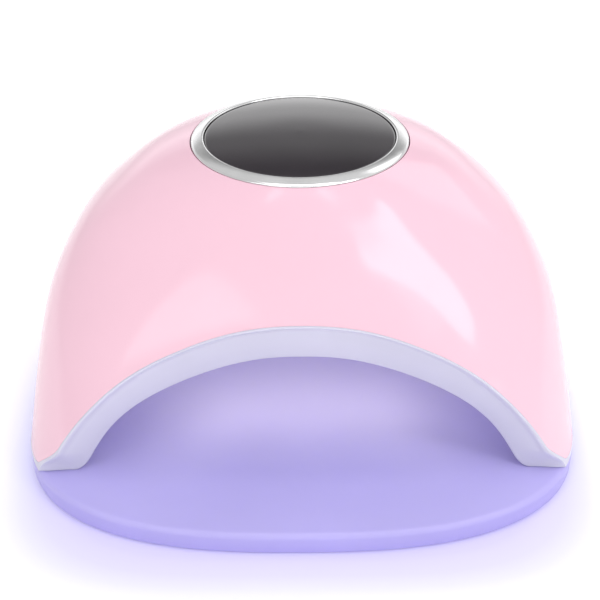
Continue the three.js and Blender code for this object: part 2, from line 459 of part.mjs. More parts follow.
add("buzzer", leaned(lathe([[0, 93], [5.4, 93], [6, 93.6], [6, 99.6], [0, 99.6]], 20, 36, 14)), "black");
add("filter_capacitor", leaned(lathe([[0, 86], [4.6, 86], [5, 86.5], [5, 99.6], [0, 99.6]], -20, 36, 14)), "can");
add("power_inductor", leaned(block(12, 12, 6.4, 0, 36, 96.4)), "chip");
add("mcu_chip", leaned(block(10, 6.2, 1.8, 0, 12, 98.7)), "chip");
add("driver_chip", leaned(block(9, 6.2, 2.3, 13, 22, 98.4)), "chip");

// ==== power inlet ====
{
  const M = at(0, 0, 24);
  const turn = (pts) => solid(new THREE.LatheGeometry(pts.map(([r, y]) => new THREE.Vector2(r, y)), 20), M);
  add("dc_jack", turn([[0, 84.6], [4.6, 84.6], [4.6, 88], [3.9, 88], [3.9, 98.9], [5.6, 98.9], [5.6, 99.8], [3.0, 99.8], [3.0, 90], [1.4, 90], [1.4, 88.2], [0, 88.2]]), "black");
  add("dc_jack_pin", turn([[0, 88.5], [1.0, 88.5], [1.0, 98], [0.6, 98.6], [0, 98.6]]), "nickel");
  const nut = solid(new THREE.CylinderGeometry(6.6, 6.6, 2.2, 6), at(0, 94.2, 24)).subtract(solid(new THREE.CylinderGeometry(4.2, 4.2, 6, 16), at(0, 94.2, 24)));
  add("dc_jack_nut", nut, "steel");
}

// ==== wiring inside the hood ====
// the last two points of a lead that runs up into a socket on the leaning control board
const plug = (x, y) => [V(x, y, 90 - drop(y)), V(x, y, 94.3).applyMatrix4(lean)];
const SENSOR_TOP = linerAt(0, -43).z + 10.5;
add("harness_power", tube([V(0, 87, 29), V(0, 87, 36), V(2, 84, 60), V(2, 72, 78), V(0, 54, 84), ...plug(0, 50)], 1.5, 16), "cable");
for (const [name, s] of [["harness_right", 1], ["harness_left", -1]])
  add(name, tube([...plug(24 * s, 12).reverse(), V(33 * s, 8, 82), V(62 * s, -2, 68), V(88 * s, -6, 53), V(95.5 * s, -6, 47), V(96 * s, -6, 43.5)], 1.2, 14), "cable");
add("harness_sensor", tube([...plug(0, -4).reverse(), V(0, -20, 80), V(0, -38, 78), V(0, -40.5, SENSOR_TOP + 4), V(0, -40.5, SENSOR_TOP)], 1.0, 12), "cable");

export default group;
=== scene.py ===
import json
import math

import bmesh
import bpy
import numpy as np
from mathutils import Matrix, Vector

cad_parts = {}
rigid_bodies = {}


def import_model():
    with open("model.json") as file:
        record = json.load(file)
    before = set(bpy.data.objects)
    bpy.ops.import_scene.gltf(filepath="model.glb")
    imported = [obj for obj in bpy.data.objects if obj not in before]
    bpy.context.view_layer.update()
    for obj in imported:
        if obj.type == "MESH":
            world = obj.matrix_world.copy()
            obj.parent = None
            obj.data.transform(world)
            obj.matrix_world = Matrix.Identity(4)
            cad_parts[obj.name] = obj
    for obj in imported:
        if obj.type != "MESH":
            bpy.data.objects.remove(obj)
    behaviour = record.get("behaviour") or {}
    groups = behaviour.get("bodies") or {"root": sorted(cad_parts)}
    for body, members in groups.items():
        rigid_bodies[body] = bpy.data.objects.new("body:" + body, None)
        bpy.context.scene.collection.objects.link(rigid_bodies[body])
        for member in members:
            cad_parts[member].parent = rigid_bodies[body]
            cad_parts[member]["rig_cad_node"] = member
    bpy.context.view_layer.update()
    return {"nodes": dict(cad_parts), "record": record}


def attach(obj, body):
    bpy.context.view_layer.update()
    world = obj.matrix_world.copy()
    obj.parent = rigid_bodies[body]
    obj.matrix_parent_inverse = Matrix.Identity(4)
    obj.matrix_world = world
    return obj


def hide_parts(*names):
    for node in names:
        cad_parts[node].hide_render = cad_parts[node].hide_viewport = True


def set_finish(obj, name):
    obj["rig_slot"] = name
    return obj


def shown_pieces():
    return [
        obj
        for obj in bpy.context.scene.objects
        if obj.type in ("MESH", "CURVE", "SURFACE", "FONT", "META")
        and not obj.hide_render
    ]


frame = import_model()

MM = 0.001
rad = math.radians

# ---------------------------------------------------------------- the dome's shape, in millimetres
HALF_WIDTH, HALF_DEPTH, WIDEST_Y, PLAN_EXP = 110.0, 100.0, -28.0, 2.6
TRAY_BOTTOM, TRAY_TOP, HOOD_BOTTOM, RIM_TOP, SHELL_BOTTOM = 0.6, 9.0, 9.3, 13.3, 10.1
SHELL_CORNER, DISPLAY_TILT = 0.048, 0.016
DISPLAY_Y, DISPLAY_R, DISPLAY_Z, HOLE_R = 20.0, 43.85, 110.16, 44.0
LEVEL = [0, 0.08, 0.2, 0.35, 0.5, 0.65, 0.78, 0.88, 0.95, 1]
DOME_A = [110, 108.9, 107.28, 104.79, 101.05, 93.5, 82.9, 70.6, 58.2, DISPLAY_R]
DOME_F = [0, 0.063, 0.154, 0.273, 0.404, 0.552, 0.707, 0.839, 0.93, 1]


def spline(xs, ys):
    """Natural cubic spline through the points."""
    xs, ys = np.array(xs, float), np.array(ys, float)
    n, h = len(xs), np.diff(xs)
    a, r = np.zeros((n, n)), np.zeros(n)
    a[0, 0] = a[-1, -1] = 1
    for i in range(1, n - 1):
        a[i, i - 1], a[i, i], a[i, i + 1] = h[i - 1], 2 * (h[i - 1] + h[i]), h[i]
        r[i] = 3 * ((ys[i + 1] - ys[i]) / h[i] - (ys[i] - ys[i - 1]) / h[i - 1])
    c = np.linalg.solve(a, r)

    def f(x):
        x = np.asarray(x, float)
        j = np.clip(np.searchsorted(xs, x, side="right") - 1, 0, n - 2)
        d = x - xs[j]
        b = (ys[j + 1] - ys[j]) / h[j] - h[j] * (c[j + 1] + 2 * c[j]) / 3
        return ys[j] + b * d + c[j] * d * d + (c[j + 1] - c[j]) / (3 * h[j]) * d**3

    return f


def spow(v, e):
    return np.sign(v) * np.abs(v) ** e


def smooth(a, b, x):
    t = np.clip((x - a) / (b - a), 0, 1)
    return t * t * (3 - 2 * t)


def smax(a, b, k):
    return (a + b + np.sqrt((a - b) ** 2 + k * k)) / 2


prof_a, prof_f = spline(LEVEL, DOME_A), spline(LEVEL, DOME_F)


def level_of(z):
    return (z - TRAY_TOP) / (DISPLAY_Z - TRAY_TOP)


def drop(y):
    """How far the leaning display has sunk at this y."""
    return DISPLAY_TILT * (y - DISPLAY_Y + DISPLAY_R)


def lean(v):
    """Points of the display, built level, turned back about its front edge."""
    p = np.array(v, float)
    y, z = p[:, 1] - DISPLAY_Y + DISPLAY_R, p[:, 2] - DISPLAY_Z
    c, q = math.cos(DISPLAY_TILT), math.sin(DISPLAY_TILT)
    p[:, 1], p[:, 2] = DISPLAY_Y - DISPLAY_R + y * c + z * q, DISPLAY_Z - y * q + z * c
    return p


def dome(th, s):
    th, s = np.broadcast_arrays(np.asarray(th, float), np.asarray(s, float))
    a, n = prof_a(s), PLAN_EXP + (2 - PLAN_EXP) * np.clip(s, 0, 1)
    y_front = -HALF_DEPTH + prof_f(s) * (DISPLAY_Y - DISPLAY_R + HALF_DEPTH)
    y_wide = WIDEST_Y + (DISPLAY_Y - WIDEST_Y) * s
    y_back = HALF_DEPTH + (DISPLAY_Y + DISPLAY_R - HALF_DEPTH) * (
        1 - (a - DISPLAY_R) / (HALF_WIDTH - DISPLAY_R)
    )
    c, q = np.cos(th), np.sin(th)
    y = y_wide + np.where(q < 0, y_wide - y_front, y_back - y_wide) * spow(q, 2 / n)
    z = TRAY_TOP + (DISPLAY_Z - TRAY_TOP) * s - np.clip(s, 0, 1.1) ** 4 * drop(y)
    return np.stack([a * spow(c, 2 / n), y, z], -1)


def unit(v):
    return v / np.maximum(np.linalg.norm(v, axis=-1, keepdims=True), 1e-12)


def dome_normal(th, s):
    e = 2e-3
    return unit(
        np.cross(dome(th + e, s) - dome(th - e, s), dome(th, s + e) - dome(th, s - e))
    )


def dome_in(th, s, d):
    return dome(th, s) - dome_normal(th, s) * d


def arch_plane(z):
    bow = 0.95 * smooth(9, 45, z) * (1 - smooth(62, 78, z))
    return -68.9 + 0.152 * (z - TRAY_TOP) + 4.3 * (1 - smooth(9, 22, z)) - bow


def inner_plane(z):
    return -63.4 + 0.15 * (z - TRAY_TOP) - 0.9 * (1 - smooth(9, 20, z))


def crossing(th, back=0.0):
    """The level at which the dome passes through the opening's plane, negative where it never does."""
    th = np.asarray(th, float)

    def g(s):
        p = dome(th, s)
        return p[..., 1] - arch_plane(p[..., 2]) - back

    lo, hi = np.zeros_like(th), np.ones_like(th)
    for _ in range(48):
        m = (lo + hi) / 2
        low = g(m) < 0
        lo, hi = np.where(low, m, lo), np.where(low, hi, m)
    g0, g1 = g(np.zeros_like(th)), g(np.full_like(th, 0.02))
    return np.where(g0 >= 0, -g0 / np.maximum((g1 - g0) / 0.02, 12), (lo + hi) / 2)


def outline_angles(count, level=0.0, dense=2.2):
    """Angles round the whole outline, evenly spread but closer at the opening's lower corners."""
    th = np.linspace(-math.pi / 2, math.pi / 2, 8001)
    p = dome(th, level)
    arc = np.concatenate([[0], np.cumsum(np.linalg.norm(np.diff(p, axis=0), axis=1))])
    corner = arc[np.argmax(crossing(th) < level_of(SHELL_BOTTOM))]
    weight = 1 + dense * np.exp(-(((arc - corner + 3) / 9) ** 2))
    run = np.concatenate([[0], np.cumsum((weight[1:] + weight[:-1]) / 2 * np.diff(arc))])
    half = np.interp(np.linspace(0, run[-1], count // 2 + 1), run, th)
    return np.concatenate([half, math.pi - half[-2:0:-1]])


# ---------------------------------------------------------------- mesh helpers
def make(name, verts, faces, body, slot=None, replaces=(), scale=MM, sharp=None):
    mesh = bpy.data.meshes.new(name)
    mesh.from_pydata((np.asarray(verts, float) * scale).tolist(), [], faces)
    bm = bmesh.new()
    bm.from_mesh(mesh)
    bmesh.ops.remove_doubles(bm, verts=bm.verts, dist=1e-7)
    bmesh.ops.dissolve_degenerate(bm, edges=bm.edges, dist=1e-8)
    bmesh.ops.recalc_face_normals(bm, faces=bm.faces)
    bm.to_mesh(mesh)
    bm.free()
    return place(name, mesh, body, slot, replaces, sharp)


def place(name, mesh, body, slot=None, replaces=(), sharp=None):
    mesh.shade_smooth()
    if sharp:
        mesh.set_sharp_from_angle(angle=rad(sharp))
    obj = bpy.data.objects.new(name, mesh)
    bpy.context.scene.collection.objects.link(obj)
    if body:
        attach(obj, body)
    if slot:
        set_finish(obj, slot)
    if replaces:
        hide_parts(*replaces)
    return obj


def ring_faces(rings, count, closed):
    faces = []
    for i in range(rings if closed else rings - 1):
        a, b = i * count, ((i + 1) % rings) * count
        for j in range(count):
            k = (j + 1) % count
            faces.append((a + j, a + k, b + k, b + j))
    return faces


def rings_solid(list_of_rings, closed=False, caps=True):
    """Vertices and faces of rings of equal count, joined in turn, with an n-gon at each end unless the rings close."""
    v = np.concatenate(list_of_rings)
    n, r = len(list_of_rings[0]), len(list_of_rings)
    f = ring_faces(r, n, closed)
    if not closed and caps:
        f.append(tuple(range(n))[::-1])
        f.append(tuple(range((r - 1) * n, r * n)))
    return v, f


def lathe_solid(profile, cx=0.0, cy=0.0, cz=0.0, count=96, axis="Z"):
    """Turns [radius, height] points about an axis; a profile that starts and ends on the axis is closed there."""
    a = np.linspace(0, 2 * math.pi, count, endpoint=False)
    rings = []
    for r, h in profile:
        r = max(r, 1e-4)
        if axis == "Z":
            rings.append(np.stack([cx + r * np.cos(a), cy + r * np.sin(a), np.full(count, cz + h)], 1))
        else:
            rings.append(np.stack([cx + r * np.cos(a), np.full(count, cy + h), cz + r * np.sin(a)], 1))
    on_axis = profile[0][0] < 1e-6
    return rings_solid(rings, closed=not on_axis)


def merge(parts):
    v, f, n = [], [], 0
    for pv, pf in parts:
        v.append(np.asarray(pv, float))
        f += [tuple(i + n for i in face) for face in pf]
        n += len(pv)
    return np.concatenate(v), f


def raw_object(name, verts, faces):
    mesh = bpy.data.meshes.new(name)
    mesh.from_pydata((np.asarray(verts, float) * MM).tolist(), [], faces)
    bm = bmesh.new()
    bm.from_mesh(mesh)
    bmesh.ops.remove_doubles(bm, verts=bm.verts, dist=1e-7)
    bmesh.ops.recalc_face_normals(bm, faces=bm.faces)
    bm.to_mesh(mesh)
    bm.free()
    obj = bpy.data.objects.new(name, mesh)
    bpy.context.scene.collection.objects.link(obj)
    return obj


def carve(base, tools):
    """base = (verts, faces); tools = [(operation, verts, faces)]. The booleans are applied and a plain mesh comes back."""
    obj = raw_object("carve_base", *base)
    cutters = []
    for i, (operation, v, f) in enumerate(tools):
        tool = raw_object(f"carve_tool_{i}", v, f)
        m = obj.modifiers.new(f"b{i}", "BOOLEAN")
        m.operation, m.object, m.solver = operation, tool, "EXACT"
        cutters.append(tool)
    bpy.context.view_layer.update()
    dg = bpy.context.evaluated_depsgraph_get()
    mesh = bpy.data.meshes.new_from_object(obj.evaluated_get(dg))
    for o in [obj, *cutters]:
        data = o.data
        bpy.data.objects.remove(o)
        bpy.data.meshes.remove(data)
    bm = bmesh.new()
    bm.from_mesh(mesh)
    bmesh.ops.remove_doubles(bm, verts=bm.verts, dist=2e-7)
    bmesh.ops.dissolve_degenerate(bm, edges=bm.edges, dist=1e-7)
    bm.to_mesh(mesh)
    bm.free()
    return mesh


def rod(a, b, r, count=32, r2=None):
    a, b = np.array(a, float), np.array(b, float)
    d = unit(b - a)
    u = unit(np.cross(d, [0.0, 0.0, 1.0] if abs(d[2]) < 0.9 else [1.0, 0.0, 0.0]))
    w = np.cross(d, u)
    t = np.linspace(0, 2 * math.pi, count, endpoint=False)[:, None]
    ring = np.cos(t) * u + np.sin(t) * w
    return rings_solid([a + ring * r, b + ring * (r if r2 is None else r2)])


def block(sx, sy, sz, cx, cy, cz):
    x, y, z = sx / 2, sy / 2, sz / 2
    v = [(cx + i * x, cy + j * y, cz + k * z) for i in (-1, 1) for j in (-1, 1) for k in (-1, 1)]
    f = [(0, 1, 3, 2), (4, 6, 7, 5), (0, 4, 5, 1), (2, 3, 7, 6), (0, 2, 6, 4), (1, 5, 7, 3)]
    return v, f


def outline(z, inset, th):
    p, e = dome(th, 0.0), 1e-3
    t = unit(dome(th + e, 0.0) - dome(th - e, 0.0))
    return np.stack([p[:, 0] - t[:, 1] * inset, p[:, 1] + t[:, 0] * inset, np.full(len(th), float(z))], 1)


def on_rim(degrees, inset):
    p = outline(0, inset, np.array([rad(degrees)]))[0]
    return [(-p[0], p[1]), (p[0], p[1])]


FEET = [(-84, -38), (84, -38), (-60, 74), (60, 74)]
MAGNETS = on_rim(0, 6.8) + on_rim(55, 6.8)
BOSSES = on_rim(-9, 6.2) + on_rim(36, 6.2)
COVER_SCREWS = [(-80, -55), (80, -55), (-72, 66), (72, 66)]

# ---------------------------------------------------------------- outer shell
N = 320
TH = outline_angles(N)


def shell_edge(th, back=0.0):
    """Level of the shell's lower edge: level along the sides, rounding up into the opening plane."""
    return smax(crossing(th, back), level_of(SHELL_BOTTOM), SHELL_CORNER)


def shell_rings():
    s_grid = np.linspace(0, 1, 801)
    side = np.stack([prof_a(s_grid), (DISPLAY_Z - TRAY_TOP) * s_grid], 1)
    arc = np.concatenate([[0], np.cumsum(np.linalg.norm(np.diff(side, axis=0), axis=1))])
    low = shell_edge(TH)
    a0, a1 = np.interp(low, s_grid, arc), np.interp(0.994, s_grid, arc)
    rows, wall, r = 84, 2.4, 0.12
    levels = [np.interp(a0 + (a1 - a0) * (i / rows) ** 1.0, arc, s_grid) for i in range(rows + 1)]
    levels[0] = low
    outer = [dome(TH, s) for s in levels]
    normals = [dome_normal(TH, s) for s in levels]
    # the rolled lower edge
    edge, n0 = outer[0], normals[0]
    down = unit(outer[0] - outer[1])
    start = edge - down * r
    lip = [
        start + down * r * math.sin(p) - n0 * r * (1 - math.cos(p))
        for p in [rad(d) for d in (0, 18, 36, 54, 72, 90)]
    ]
    keep = next(i for i in range(1, rows) if np.min(np.linalg.norm(outer[i] - edge, axis=1)) > r * 1.15)
    inner_levels = [levels[i] for i in range(rows, 0, -6)]
    inner = [dome_in(TH, s, wall) for s in inner_levels]
    back = [edge - n0 * wall - down * 0.6, edge - n0 * (wall - 0.5)]
    hole_y = DISPLAY_Y + HOLE_R * np.sin(TH)
    top = [np.stack([HOLE_R * np.cos(TH), hole_y, DISPLAY_Z - 0.05 + dz - drop(hole_y)], 1) for dz in (0, -2.7)]
    return [*lip[::-1], *outer[keep:], *top, *inner[1:], *back]


def capsule(x, z, w, h, y0, y1, count=10):
    """A slot with round ends, right through from y0 to y1."""
    r, pts = w / 2, []
    for k in range(count + 1):
        a = math.pi * k / count
        pts.append((x + r * math.cos(a), z + h / 2 - r + r * math.sin(a)))
    for k in range(count + 1):
        a = math.pi + math.pi * k / count
        pts.append((x + r * math.cos(a), z - h / 2 + r + r * math.sin(a)))
    p = np.array(pts)
    mk = lambda y: np.stack([p[:, 0], np.full(len(p), float(y)), p[:, 1]], 1)
    return rings_solid([mk(y0), mk(y1)])


tools = [("DIFFERENCE", *rod((0, 98.6, 24), (0, 104, 24), 6.1, 64)), ("DIFFERENCE", *rod((0, 90, 24), (0, 104, 24), 4.3, 48))]
tools.append(("DIFFERENCE", *merge([capsule(i * 6, 50, 2.2, 13, 84, 104) for i in range(-4, 5)])))
shell = place(
    "outer_shell_skin",
    carve(rings_solid(shell_rings(), closed=True), tools),
    "hood",
    "shell_plastic",
    ["outer_shell"],
    sharp=32,
)

# ---------------------------------------------------------------- white arch and rim
INNER = [(0, 56.5), (17.4, 55.3), (35.6, 50.3), (50.2, 43.9), (64.5, 34.9), (73.6, 25.8), (79.6, 16.9), (83.4, 11.6), (85.0, 10.2), (86.6, 9.45), (88.2, HOOD_BOTTOM)]


def inner_arch(t):
    d = [0.0]
    for (x0, z0), (x1, z1) in zip(INNER[:-1], INNER[1:]):
        d.append(d[-1] + math.hypot(x1 - x0, z1 - z0))
    fx = spline([-d[1], *d], [-17.4, *[p[0] for p in INNER]])
    fz = spline([-d[1], *d], [55.3, *[p[1] for p in INNER]])
    return fx(t * d[-1]), fz(t * d[-1])


def arch_stations(n):
    th = np.linspace(-math.pi / 2, 0, 6001)
    end = th[np.argmax(crossing(th) <= level_of(HOOD_BOTTOM))]
    u = 1 - (1 - np.linspace(0, 1, 4001)) ** 2
    th = -math.pi / 2 + u * (end + math.pi / 2)
    s = np.maximum(crossing(th), level_of(HOOD_BOTTOM))
    p = dome(th, s)
    d = np.concatenate([[0], np.cumsum(np.linalg.norm(np.diff(p, axis=0), axis=1))])
    at = np.linspace(0, d[-1], n + 1)
    return np.interp(at, d, th), np.interp(at, d, s)


def arch_rings(n=150):
    th, s = arch_stations(n)
    o, nrm = dome(th, s), dome_normal(th, s)
    o[:, 1] = arch_plane(o[:, 2])
    t = np.linspace(0, 1, n + 1)
    ix, iz = inner_arch(t)
    inner = np.stack([ix, inner_plane(iz), iz], 1)
    foot = 1 - smooth(HOOD_BOTTOM, 22, o[:, 2])
    lip = (1.9 * (1 - 0.88 * foot))[:, None]
    fwd = np.array([0.0, 1.0, 0.0])

    def p(a, b):
        return o - nrm * b + a * fwd

    # rolled outer edge: from the shell's skin round to the face
    rows = []
    for k in range(9):
        a = math.pi / 2 * k / 8
        rows.append(p(-lip * math.sin(a), 3.4 * (1 - math.cos(a))))
    face0 = rows[-1]
    # the face, a little crowned, down to the inner edge's small radius
    across = unit(inner - face0)
    stop = inner - across * 1.3
    for k in (0.12, 0.3, 0.5, 0.7, 0.88):
        rows.append(face0 + (stop - face0) * k - 0.28 * math.sin(math.pi * k) * fwd)
    side = unit(np.cross(np.gradient(inner, axis=0), across))
    side = np.where(side[:, 1:2] < 0, -side, side)
    for k in range(7):
        a = math.pi / 2 * k / 6
        rows.append(stop + across * 1.3 * math.sin(a) + side * 1.3 * (1 - math.cos(a)))
    rows.append(inner + np.array([0, 2.4, 0.0]))
    # the back edge, which follows the shell's lower edge where that curves away from the foot
    edge = np.maximum(shell_edge(th) - 0.02 / (DISPLAY_Z - TRAY_TOP), s + 0.0002)
    rows += [p(3.6, 6.4), p(9, 5.7), p(9, 4.3), p(0.6, 4.25), dome_in(th, edge, 3.0), dome_in(th, edge, 0.06), dome(th, np.maximum(edge - 0.0005, s + 0.0001))]
    ring = np.stack(rows, 1)  # station, point, xyz
    down = ring[-1] + np.array([0, 0, -8.0])
    right = [*ring, down]
    left = [r * np.array([-1.0, 1, 1]) for r in right[:0:-1]]
    return [*left, *right]


def frame_mesh():
    arch = rings_solid(arch_rings())
    low, high, th = level_of(HOOD_BOTTOM), level_of(RIM_TOP), TH
    b, per = 0.3, 1 / (DISPLAY_Z - TRAY_TOP)
    top = np.minimum(shell_edge(th) - 0.02 * per, level_of(16.0))
    crest = dome_in(th, top, 3.0)

    def at_height(ring, z):
        ring[:, 2] = z
        return ring

    tall = np.maximum(crest[:, 2], RIM_TOP)
    rim_rings = [
        at_height(dome_in(th, low, b), HOOD_BOTTOM),
        at_height(dome_in(th, low, 0.3 * b), HOOD_BOTTOM + 0.3 * b),
        at_height(dome(th, low), HOOD_BOTTOM + b),
        dome(th, top - 0.08 * per),
        dome_in(th, top, 0.08),
        crest,
        at_height(dome_in(th, np.maximum(top, high), 3.6), tall),
        at_height(dome_in(th, np.maximum(top, high), 11.5), tall),
        at_height(dome_in(th, low, 11.5), HOOD_BOTTOM),
    ]
    rim = rings_solid(rim_rings, closed=True)
    # cut off in front along the face of the arch's feet
    plan = [(-150, -150), (150, -150), (150, -64.75), (98, -64.75), (88, -63.9), (-88, -63.9), (-98, -64.75), (-150, -64.75)]
    front = rings_solid([np.array([(x, y, z) for x, y in plan], float) for z in (5, 18)])
    tools = [
        ("DIFFERENCE", *front),
        ("UNION", *arch),
        ("DIFFERENCE", *block(300, 300, 20, 0, 0, HOOD_BOTTOM - 10)),
    ]
    holes = []
    for x, y in BOSSES:
        holes += [rod((x, y, 8), (x, y, 11), 2.9, 32)]
    for x, y in MAGNETS:
        holes += [rod((x, y, 8), (x, y, 12.4), 3.3, 32)]
    for x in (-40, 40):
        holes += [rod((x, 91, 8), (x, 91, 12), 2.3, 32)]
    tools.append(("DIFFERENCE", *merge(holes)))
    return carve(rim, tools)


arch = place("arch_frame_skin", frame_mesh(), "hood", "white_plastic", ["arch_frame"], sharp=35)

# ---------------------------------------------------------------- base tray
TT = outline_angles(400)


def tray_mesh():
    rings = [outline(6.6, 4, TT), outline(TRAY_BOTTOM, 4, TT), outline(TRAY_BOTTOM, 0.8, TT)]
    for d in (20, 45, 70, 90):  # rolled lower edge
        a = rad(d)
        rings.append(outline(TRAY_BOTTOM + 0.8 * (1 - math.cos(a)), 0.8 - 0.8 * math.sin(a), TT))
    r = 2.2
    for k in range(9):  # rolled upper edge
        a = math.pi / 2 * k / 8
        rings.append(outline(TRAY_TOP - r + r * math.sin(a), r * (1 - math.cos(a)) + (0.25 if k == 8 else 0), TT))
    v, f = rings_solid(rings)
    tools = [("UNION", *merge([rod((x, 91, 8), (x, 91, 10.9), 1.9, 32) for x in (-40, 40)]))]
    return carve((v, f), tools)


tray = place("base_tray_skin", tray_mesh(), "tray", "tray_plastic", ["base_tray"], sharp=35)


def cover_mesh():
    rings = [outline(1.8, 4.4, TT), outline(3.4, 4.4, TT)]
    first = [outline(1.5, 4.7, TT)]
    tools = [("DIFFERENCE", *merge([rod((x, y, 1), (x, y, 2.4), 8.4, 48) for x, y in FEET]))]
    tools.append(("DIFFERENCE", *merge([rod((x, y, 1), (x, y, 4), 1.8, 24) for x, y in COVER_SCREWS])))
    tools.append(("DIFFERENCE", *merge([rod((x, y, 1), (x, y, 2.5), 3.1, 32) for x, y in COVER_SCREWS])))
    return carve(rings_solid(first + rings), tools)


cover = place("base_cover_skin", cover_mesh(), "tray", "tray_plastic", ["base_cover"], sharp=30)

for i, (x, y) in enumerate(FEET, 1):
    profile = [(0, 0.12), (5.6, 0.12), (6.0, 0.0), (7.0, 0.0), (7.5, 0.12), (7.85, 0.45), (8.0, 0.9), (8.0, 2.2), (0, 2.2)]
    v, f = lathe_solid(profile, x, y, 0, 64)
    make(f"rubber_foot_pad_{i}", v, f, "tray", "foot_rubber", [f"rubber_foot_{i}"], sharp=40)

# ---------------------------------------------------------------- display
ring_profile = [(38.5, 109.2), (42.4, 109.2), (42.4, 105.0), (43.6, 105.0), (43.6, 110.1), (43.45, 110.45), (43.0, 110.8)]
for k in range(1, 9):
    t = k / 8
    ring_profile.append((43.0 - 3.5 * t, 110.8 + 1.05 * t + 0.10 * math.sin(math.pi * t)))
ring_profile += [(39.2, 111.9), (38.8, 111.85), (38.58, 111.65), (38.5, 111.35)]
v, f = lathe_solid(ring_profile, 0, DISPLAY_Y, 0, 192)
make("chrome_ring_band", lean(v), f, "hood", "chrome_plate", ["chrome_ring"], sharp=50)

lens_top = spline([0, 14, 26, 34, 37.4], [112.8, 112.65, 112.2, 111.7, 111.42])
lens_profile = [(0, 109.2), (38.0, 109.2), (38.2, 109.4), (38.2, 110.9), (38.1, 111.15), (37.8, 111.36)]
for r in (37.4, 36.5, 34, 31, 28, 25, 22, 19, 16, 13, 10, 7, 4, 2, 0):
    lens_profile.append((r, float(lens_top(r))))
v, f = lathe_solid(lens_profile, 0, DISPLAY_Y, 0, 160)
make("display_lens_disc", lean(v), f, "hood", "smoked_lens", ["display_lens"], sharp=50)

# ---------------------------------------------------------------- reflector liner and lamps
LIN = dict(a=95.2, yc=-8.0, f=108.0, b=84.0, nx=1.75, ny=2.6, h=51.0, k=1.85, z=HOOD_BOTTOM + 0.2)


def liner_value(p):
    dy = p[..., 1] - LIN["yc"]
    return (
        (np.abs(p[..., 0]) / LIN["a"]) ** LIN["nx"]
        + (np.abs(dy) / np.where(dy < 0, LIN["f"], LIN["b"])) ** LIN["ny"]
        + (np.maximum(0, p[..., 2] - LIN["z"]) / LIN["h"]) ** LIN["k"]
    )


def liner_normal(p):
    e = 0.05
    g = [liner_value(p + d) - liner_value(p - d) for d in np.eye(3) * e]
    return unit(np.stack(g, -1))


def liner_hit(direction, start=None):
    direction = np.asarray(direction, float)
    start = np.array([0, LIN["yc"], LIN["z"]]) if start is None else np.asarray(start, float)
    a = np.zeros(direction.shape[:-1])
    b = np.full(direction.shape[:-1], 200.0)
    for _ in range(50):
        m = (a + b) / 2
        inside = liner_value(start + direction * m[..., None]) < 1
        a, b = np.where(inside, m, a), np.where(inside, b, m)
    return start + direction * ((a + b) / 2)[..., None]


def off(p, d):
    return p + liner_normal(p) * d


def toward(az, el):
    return np.array([math.cos(el) * math.cos(az), math.cos(el) * math.sin(az), math.sin(el)])


LAMPS = {"right": [], "left": [], "rear": [], "top": []}
for el in (8, 18):
    for az in (-20, -7, 6, 19):
        LAMPS["right"].append(liner_hit(toward(rad(az), rad(el))))
LAMPS["left"] = [p * np.array([-1, 1, 1]) for p in LAMPS["right"]]
for el in (10, 23):
    for az in (68, 83, 97, 112):
        LAMPS["rear"].append(liner_hit(toward(rad(az), rad(el))))
for y in (-24, 4, 32):
    for x in (-36, -12, 12, 36):
        LAMPS["top"].append(liner_hit(np.array([0, 0, 1.0]), (x, y, LIN["z"])))
SENSORS = [(-7, -43), (7, -43)]


def liner_rings(d, floor, cols=180, rows=48):
    out = []
    az = (np.arange(cols) + 0.5) / cols * 2 * math.pi
    for i in range(rows + 1):
        el = (i / rows) ** 1.05 * (math.pi / 2 - 0.012)
        v = np.stack(
            [
                np.cos(az) * 97 * math.cos(el),
                np.sin(az) * np.where(np.sin(az) < 0, 108, 84) * math.cos(el),
                np.full(cols, 51 * math.sin(el)),
            ],
            1,
        )
        q = off(liner_hit(unit(v)), d)
        if i == 0:
            q[:, 2] = floor
        out.append(q)
    return out


def front_block(behind):
    v, f = block(320, 120, 200, 0, -60, 0)
    a = -math.atan(0.15)
    m = np.array([[1, 0, 0], [0, math.cos(a), -math.sin(a)], [0, math.sin(a), math.cos(a)]])
    return np.array(v) @ m.T + np.array([0, float(inner_plane(30.0)) + behind, 30.0]), f


def liner_mesh():
    holes = [rod(off(p, -3), off(p, 5), 3.5, 32) for group in LAMPS.values() for p in group]
    for x, y in SENSORS:
        z = float(liner_hit(np.array([0, 0, 1.0]), (x, y, LIN["z"]))[2])
        holes.append(rod((x, y, z - 5), (x, y, z + 6), 2.8, 28))
    tools = [
        ("DIFFERENCE", *rings_solid(liner_rings(0, LIN["z"] - 4))),
        ("DIFFERENCE", *front_block(3.8)),
        ("DIFFERENCE", *merge(holes)),
    ]
    return carve(rings_solid(liner_rings(2, LIN["z"])), tools)


liner = place("reflector_liner_skin", liner_mesh(), "hood", "liner_plastic", ["reflector_liner"], sharp=35)

# a clear dome over each lamp
for side, points in LAMPS.items():
    parts = []
    for p in points:
        n = liner_normal(p)
        c = p + n * 1.2
        u = unit(np.cross(n, [0.3, 0.2, 0.93]))
        w = np.cross(n, u)
        t = np.linspace(0, 2 * math.pi, 24, endpoint=False)[:, None]
        rings = []
        for k in range(8):
            a = math.pi / 2 * (1 - k / 7.6)
            rings.append(c - n * (2.6 * math.cos(a)) + (np.cos(t) * u + np.sin(t) * w) * 3.05 * math.sin(a))
        rings.insert(0, c + n * 0.6 + (np.cos(t) * u + np.sin(t) * w) * 3.05)
        parts.append(rings_solid(rings))
    v, f = merge(parts)
    make(f"lamp_domes_{side}", v, f, "hood", "led_board", sharp=50)

